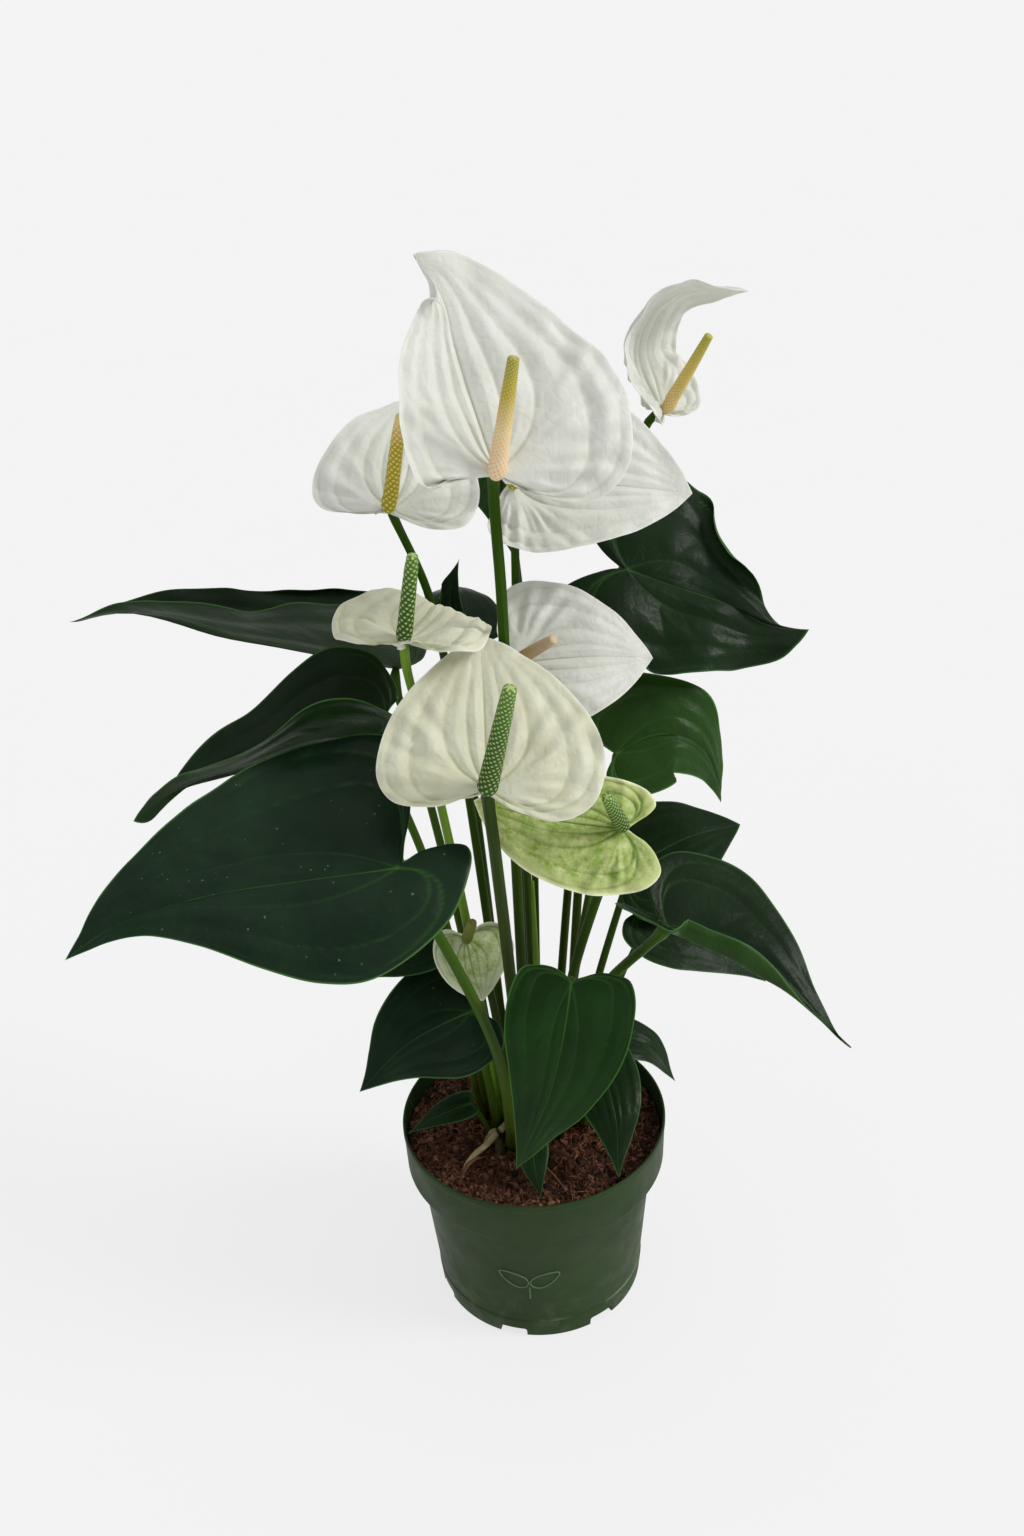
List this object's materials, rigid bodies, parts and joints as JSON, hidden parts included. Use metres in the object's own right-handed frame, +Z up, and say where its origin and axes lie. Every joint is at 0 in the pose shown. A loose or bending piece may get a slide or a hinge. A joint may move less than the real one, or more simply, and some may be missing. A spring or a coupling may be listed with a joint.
{
  "type": "potted anthurium",
  "caption": "Flowering anthurium in a round tapered nursery pot with potting mix, heart-shaped leaves on long stalks, and white spathes with upright spadices.",
  "frame": {"origin": "middle of the underside of the nursery pot", "axes": "+Z up along the pot's axis, -Y towards the plant's front, +X to the right seen from the front"},
  "size_m": [0.418, 0.2889, 0.6652],
  "materials": {
    "pot": "satin moulded plastic",
    "potting_mix": "rough fibrous coir and peat",
    "crown": "rough corky stem",
    "young_stalk": "smooth waxy",
    "dark_leaf": "glossy waxy leaf",
    "young_leaf": "glossy waxy leaf",
    "leaf_stalk": "smooth waxy",
    "flower_stalk": "smooth waxy",
    "white_spathe": "waxy satin",
    "cream_spathe": "waxy satin",
    "green_spathe": "waxy satin",
    "pale_spadix": "finely knobbed",
    "green_spadix": "finely knobbed"
  },
  "bodies": {
    "root": {"nursery_pot": "pot", "potting_mix": "potting_mix", "crown": "crown", "leaf_sheath": "young_stalk", "flower_1_spathe": "white_spathe", "flower_1_spadix": "pale_spadix", "flower_1_stalk": "flower_stalk", "flower_2_spathe": "white_spathe", "flower_2_spadix": "pale_spadix", "flower_2_stalk": "flower_stalk", "flower_3_spathe": "white_spathe", "flower_3_spadix": "pale_spadix", "flower_3_stalk": "flower_stalk", "flower_4_spathe": "white_spathe", "flower_4_spadix": "pale_spadix", "flower_4_stalk": "flower_stalk", "flower_5_spathe": "cream_spathe", "flower_5_spadix": "green_spadix", "flower_5_stalk": "flower_stalk", "flower_6_spathe": "white_spathe", "flower_6_spadix": "pale_spadix", "flower_6_stalk": "flower_stalk", "flower_7_spathe": "cream_spathe", "flower_7_spadix": "green_spadix", "flower_7_stalk": "flower_stalk", "flower_8_spathe": "green_spathe", "flower_8_spadix": "green_spadix", "flower_8_stalk": "flower_stalk", "flower_9_spathe": "green_spathe", "flower_9_spadix": "green_spadix", "flower_9_stalk": "flower_stalk", "leaf_1_blade": "dark_leaf", "leaf_1_stalk": "leaf_stalk", "leaf_2_blade": "dark_leaf", "leaf_2_stalk": "leaf_stalk", "leaf_3_blade": "dark_leaf", "leaf_3_stalk": "leaf_stalk", "leaf_4_blade": "dark_leaf", "leaf_4_stalk": "leaf_stalk", "leaf_5_blade": "young_leaf", "leaf_5_stalk": "leaf_stalk", "leaf_6_blade": "dark_leaf", "leaf_6_stalk": "leaf_stalk", "leaf_7_blade": "dark_leaf", "leaf_7_stalk": "leaf_stalk", "leaf_8_blade": "young_leaf", "leaf_8_stalk": "leaf_stalk", "leaf_9_blade": "dark_leaf", "leaf_9_stalk": "leaf_stalk", "leaf_10": "dark_leaf", "leaf_11": "dark_leaf", "leaf_12": "dark_leaf", "leaf_13": "dark_leaf", "leaf_14": "dark_leaf", "leaf_15": "dark_leaf", "leaf_16": "dark_leaf", "leaf_17": "dark_leaf", "leaf_18": "dark_leaf"}
  },
  "joints": []
}
